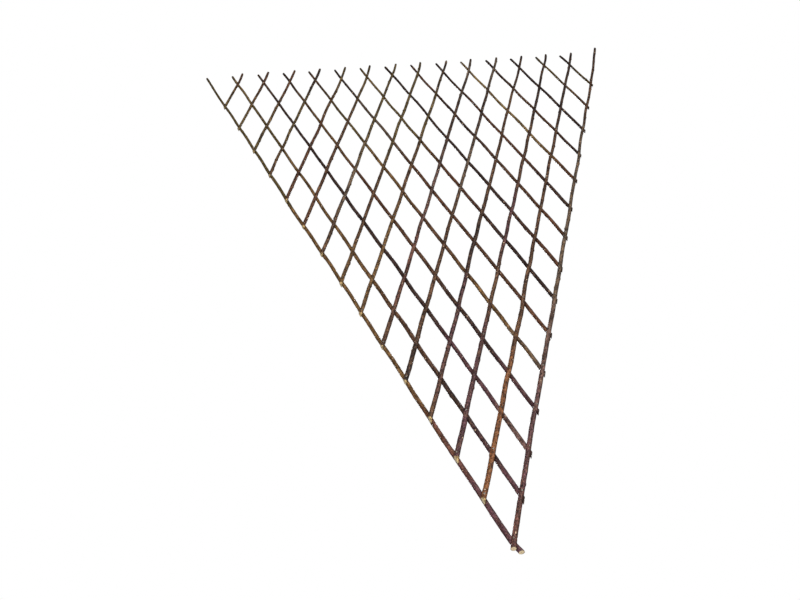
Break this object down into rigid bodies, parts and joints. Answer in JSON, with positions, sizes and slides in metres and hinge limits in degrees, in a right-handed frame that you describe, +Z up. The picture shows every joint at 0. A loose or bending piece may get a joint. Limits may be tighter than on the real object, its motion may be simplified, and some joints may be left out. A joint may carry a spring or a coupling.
{
  "type": "expanding fan trellis",
  "caption": "Expanding fan trellis of slender unpeeled willow rods, nailed at every crossing into a diamond lattice that swings open and shut.",
  "frame": {"origin": "on the ground, straight under the foot nail, midway between the two layers of rods", "axes": "+Z up the trellis, -Y out of its front face, +X to the right seen from the front"},
  "size_m": [0.9485, 0.0237, 1.5324],
  "materials": {
    "front_rod_bark": "dry unpeeled willow bark, reddish brown, with pale bud scars",
    "back_rod_bark": "dry unpeeled willow bark, purple brown to olive",
    "nail_steel": "galvanised wire nail, dulled"
  },
  "bodies": {
    "foot": {"foot_nail": "nail_steel"},
    "front_rod_01_body": {"front_rod_01": "front_rod_bark", "front_rod_nails_01": "nail_steel"},
    "front_rod_02_body": {"front_rod_02": "front_rod_bark", "front_rod_nails_02": "nail_steel"},
    "front_rod_03_body": {"front_rod_03": "front_rod_bark", "front_rod_nails_03": "nail_steel"},
    "front_rod_04_body": {"front_rod_04": "front_rod_bark", "front_rod_nails_04": "nail_steel"},
    "front_rod_05_body": {"front_rod_05": "front_rod_bark", "front_rod_nails_05": "nail_steel"},
    "front_rod_06_body": {"front_rod_06": "front_rod_bark", "front_rod_nails_06": "nail_steel"},
    "front_rod_07_body": {"front_rod_07": "front_rod_bark", "front_rod_nails_07": "nail_steel"},
    "front_rod_08_body": {"front_rod_08": "front_rod_bark", "front_rod_nails_08": "nail_steel"},
    "front_rod_09_body": {"front_rod_09": "front_rod_bark", "front_rod_nails_09": "nail_steel"},
    "front_rod_10_body": {"front_rod_10": "front_rod_bark", "front_rod_nails_10": "nail_steel"},
    "front_rod_11_body": {"front_rod_11": "front_rod_bark", "front_rod_nails_11": "nail_steel"},
    "front_rod_12_body": {"front_rod_12": "front_rod_bark", "front_rod_nails_12": "nail_steel"},
    "front_rod_13_body": {"front_rod_13": "front_rod_bark", "front_rod_nails_13": "nail_steel"},
    "front_rod_14_body": {"front_rod_14": "front_rod_bark", "front_rod_nails_14": "nail_steel"},
    "front_rod_15_body": {"front_rod_15": "front_rod_bark", "front_rod_nails_15": "nail_steel"},
    "back_rod_01_body": {"back_rod_01": "back_rod_bark"},
    "back_rod_02_body": {"back_rod_02": "back_rod_bark"},
    "back_rod_03_body": {"back_rod_03": "back_rod_bark"},
    "back_rod_04_body": {"back_rod_04": "back_rod_bark"},
    "back_rod_05_body": {"back_rod_05": "back_rod_bark"},
    "back_rod_06_body": {"back_rod_06": "back_rod_bark"},
    "back_rod_07_body": {"back_rod_07": "back_rod_bark"},
    "back_rod_08_body": {"back_rod_08": "back_rod_bark"},
    "back_rod_09_body": {"back_rod_09": "back_rod_bark"},
    "back_rod_10_body": {"back_rod_10": "back_rod_bark"},
    "back_rod_11_body": {"back_rod_11": "back_rod_bark"},
    "back_rod_12_body": {"back_rod_12": "back_rod_bark"},
    "back_rod_13_body": {"back_rod_13": "back_rod_bark"},
    "back_rod_14_body": {"back_rod_14": "back_rod_bark"},
    "back_rod_15_body": {"back_rod_15": "back_rod_bark"}
  },
  "joints": [
    {"name": "fan_spread", "type": "hinge", "parent": "foot", "child": "front_rod_01_body", "pos_m": [0, 0, 0.01746], "axis": [0, 1, 0], "range_deg": [-13, 27.5]},
    {"name": "left_edge_swing", "type": "hinge", "parent": "foot", "child": "back_rod_01_body", "pos_m": [0, 0, 0.01746], "axis": [0, 1, 0], "range_deg": [-27.5, 13]},
    {"name": "front_rod_02_swing", "type": "hinge", "parent": "back_rod_01_body", "child": "front_rod_02_body", "pos_m": [-0.03038, 0, 0.11441], "axis": [0, 1, 0], "range_deg": [-26, 55]},
    {"name": "front_rod_03_swing", "type": "hinge", "parent": "back_rod_01_body", "child": "front_rod_03_body", "pos_m": [-0.06076, 0, 0.21136], "axis": [0, 1, 0], "range_deg": [-26, 55]},
    {"name": "front_rod_04_swing", "type": "hinge", "parent": "back_rod_01_body", "child": "front_rod_04_body", "pos_m": [-0.09115, 0, 0.30832], "axis": [0, 1, 0], "range_deg": [-26, 55]},
    {"name": "front_rod_05_swing", "type": "hinge", "parent": "back_rod_01_body", "child": "front_rod_05_body", "pos_m": [-0.12153, 0, 0.40527], "axis": [0, 1, 0], "range_deg": [-26, 55]},
    {"name": "front_rod_06_swing", "type": "hinge", "parent": "back_rod_01_body", "child": "front_rod_06_body", "pos_m": [-0.15191, 0, 0.50222], "axis": [0, 1, 0], "range_deg": [-26, 55]},
    {"name": "front_rod_07_swing", "type": "hinge", "parent": "back_rod_01_body", "child": "front_rod_07_body", "pos_m": [-0.1823, 0, 0.59917], "axis": [0, 1, 0], "range_deg": [-26, 55]},
    {"name": "front_rod_08_swing", "type": "hinge", "parent": "back_rod_01_body", "child": "front_rod_08_body", "pos_m": [-0.21268, 0, 0.69612], "axis": [0, 1, 0], "range_deg": [-26, 55]},
    {"name": "front_rod_09_swing", "type": "hinge", "parent": "back_rod_01_body", "child": "front_rod_09_body", "pos_m": [-0.24306, 0, 0.79307], "axis": [0, 1, 0], "range_deg": [-26, 55]},
    {"name": "front_rod_10_swing", "type": "hinge", "parent": "back_rod_01_body", "child": "front_rod_10_body", "pos_m": [-0.27344, 0, 0.89002], "axis": [0, 1, 0], "range_deg": [-26, 55]},
    {"name": "front_rod_11_swing", "type": "hinge", "parent": "back_rod_01_body", "child": "front_rod_11_body", "pos_m": [-0.30383, 0, 0.98697], "axis": [0, 1, 0], "range_deg": [-26, 55]},
    {"name": "front_rod_12_swing", "type": "hinge", "parent": "back_rod_01_body", "child": "front_rod_12_body", "pos_m": [-0.33421, 0, 1.08392], "axis": [0, 1, 0], "range_deg": [-26, 55]},
    {"name": "front_rod_13_swing", "type": "hinge", "parent": "back_rod_01_body", "child": "front_rod_13_body", "pos_m": [-0.36459, 0, 1.18087], "axis": [0, 1, 0], "range_deg": [-26, 55]},
    {"name": "front_rod_14_swing", "type": "hinge", "parent": "back_rod_01_body", "child": "front_rod_14_body", "pos_m": [-0.39497, 0, 1.27782], "axis": [0, 1, 0], "range_deg": [-26, 55]},
    {"name": "front_rod_15_swing", "type": "hinge", "parent": "back_rod_01_body", "child": "front_rod_15_body", "pos_m": [-0.42536, 0, 1.37477], "axis": [0, 1, 0], "range_deg": [-26, 55]},
    {"name": "back_rod_02_swing", "type": "hinge", "parent": "front_rod_01_body", "child": "back_rod_02_body", "pos_m": [0.03038, 0, 0.11441], "axis": [0, 1, 0], "range_deg": [-55, 26]},
    {"name": "back_rod_03_swing", "type": "hinge", "parent": "front_rod_01_body", "child": "back_rod_03_body", "pos_m": [0.06076, 0, 0.21136], "axis": [0, 1, 0], "range_deg": [-55, 26]},
    {"name": "back_rod_04_swing", "type": "hinge", "parent": "front_rod_01_body", "child": "back_rod_04_body", "pos_m": [0.09115, 0, 0.30832], "axis": [0, 1, 0], "range_deg": [-55, 26]},
    {"name": "back_rod_05_swing", "type": "hinge", "parent": "front_rod_01_body", "child": "back_rod_05_body", "pos_m": [0.12153, 0, 0.40527], "axis": [0, 1, 0], "range_deg": [-55, 26]},
    {"name": "back_rod_06_swing", "type": "hinge", "parent": "front_rod_01_body", "child": "back_rod_06_body", "pos_m": [0.15191, 0, 0.50222], "axis": [0, 1, 0], "range_deg": [-55, 26]},
    {"name": "back_rod_07_swing", "type": "hinge", "parent": "front_rod_01_body", "child": "back_rod_07_body", "pos_m": [0.1823, 0, 0.59917], "axis": [0, 1, 0], "range_deg": [-55, 26]},
    {"name": "back_rod_08_swing", "type": "hinge", "parent": "front_rod_01_body", "child": "back_rod_08_body", "pos_m": [0.21268, 0, 0.69612], "axis": [0, 1, 0], "range_deg": [-55, 26]},
    {"name": "back_rod_09_swing", "type": "hinge", "parent": "front_rod_01_body", "child": "back_rod_09_body", "pos_m": [0.24306, 0, 0.79307], "axis": [0, 1, 0], "range_deg": [-55, 26]},
    {"name": "back_rod_10_swing", "type": "hinge", "parent": "front_rod_01_body", "child": "back_rod_10_body", "pos_m": [0.27344, 0, 0.89002], "axis": [0, 1, 0], "range_deg": [-55, 26]},
    {"name": "back_rod_11_swing", "type": "hinge", "parent": "front_rod_01_body", "child": "back_rod_11_body", "pos_m": [0.30383, 0, 0.98697], "axis": [0, 1, 0], "range_deg": [-55, 26]},
    {"name": "back_rod_12_swing", "type": "hinge", "parent": "front_rod_01_body", "child": "back_rod_12_body", "pos_m": [0.33421, 0, 1.08392], "axis": [0, 1, 0], "range_deg": [-55, 26]},
    {"name": "back_rod_13_swing", "type": "hinge", "parent": "front_rod_01_body", "child": "back_rod_13_body", "pos_m": [0.36459, 0, 1.18087], "axis": [0, 1, 0], "range_deg": [-55, 26]},
    {"name": "back_rod_14_swing", "type": "hinge", "parent": "front_rod_01_body", "child": "back_rod_14_body", "pos_m": [0.39497, 0, 1.27782], "axis": [0, 1, 0], "range_deg": [-55, 26]},
    {"name": "back_rod_15_swing", "type": "hinge", "parent": "front_rod_01_body", "child": "back_rod_15_body", "pos_m": [0.42536, 0, 1.37477], "axis": [0, 1, 0], "range_deg": [-55, 26]}
  ],
  "couplings": [
    {"joint": "left_edge_swing", "follows": "fan_spread", "ratio": -1},
    {"joint": "front_rod_02_swing", "follows": "fan_spread", "ratio": 2},
    {"joint": "front_rod_03_swing", "follows": "fan_spread", "ratio": 2},
    {"joint": "front_rod_04_swing", "follows": "fan_spread", "ratio": 2},
    {"joint": "front_rod_05_swing", "follows": "fan_spread", "ratio": 2},
    {"joint": "front_rod_06_swing", "follows": "fan_spread", "ratio": 2},
    {"joint": "front_rod_07_swing", "follows": "fan_spread", "ratio": 2},
    {"joint": "front_rod_08_swing", "follows": "fan_spread", "ratio": 2},
    {"joint": "front_rod_09_swing", "follows": "fan_spread", "ratio": 2},
    {"joint": "front_rod_10_swing", "follows": "fan_spread", "ratio": 2},
    {"joint": "front_rod_11_swing", "follows": "fan_spread", "ratio": 2},
    {"joint": "front_rod_12_swing", "follows": "fan_spread", "ratio": 2},
    {"joint": "front_rod_13_swing", "follows": "fan_spread", "ratio": 2},
    {"joint": "front_rod_14_swing", "follows": "fan_spread", "ratio": 2},
    {"joint": "front_rod_15_swing", "follows": "fan_spread", "ratio": 2},
    {"joint": "back_rod_02_swing", "follows": "fan_spread", "ratio": -2},
    {"joint": "back_rod_03_swing", "follows": "fan_spread", "ratio": -2},
    {"joint": "back_rod_04_swing", "follows": "fan_spread", "ratio": -2},
    {"joint": "back_rod_05_swing", "follows": "fan_spread", "ratio": -2},
    {"joint": "back_rod_06_swing", "follows": "fan_spread", "ratio": -2},
    {"joint": "back_rod_07_swing", "follows": "fan_spread", "ratio": -2},
    {"joint": "back_rod_08_swing", "follows": "fan_spread", "ratio": -2},
    {"joint": "back_rod_09_swing", "follows": "fan_spread", "ratio": -2},
    {"joint": "back_rod_10_swing", "follows": "fan_spread", "ratio": -2},
    {"joint": "back_rod_11_swing", "follows": "fan_spread", "ratio": -2},
    {"joint": "back_rod_12_swing", "follows": "fan_spread", "ratio": -2},
    {"joint": "back_rod_13_swing", "follows": "fan_spread", "ratio": -2},
    {"joint": "back_rod_14_swing", "follows": "fan_spread", "ratio": -2},
    {"joint": "back_rod_15_swing", "follows": "fan_spread", "ratio": -2}
  ]
}
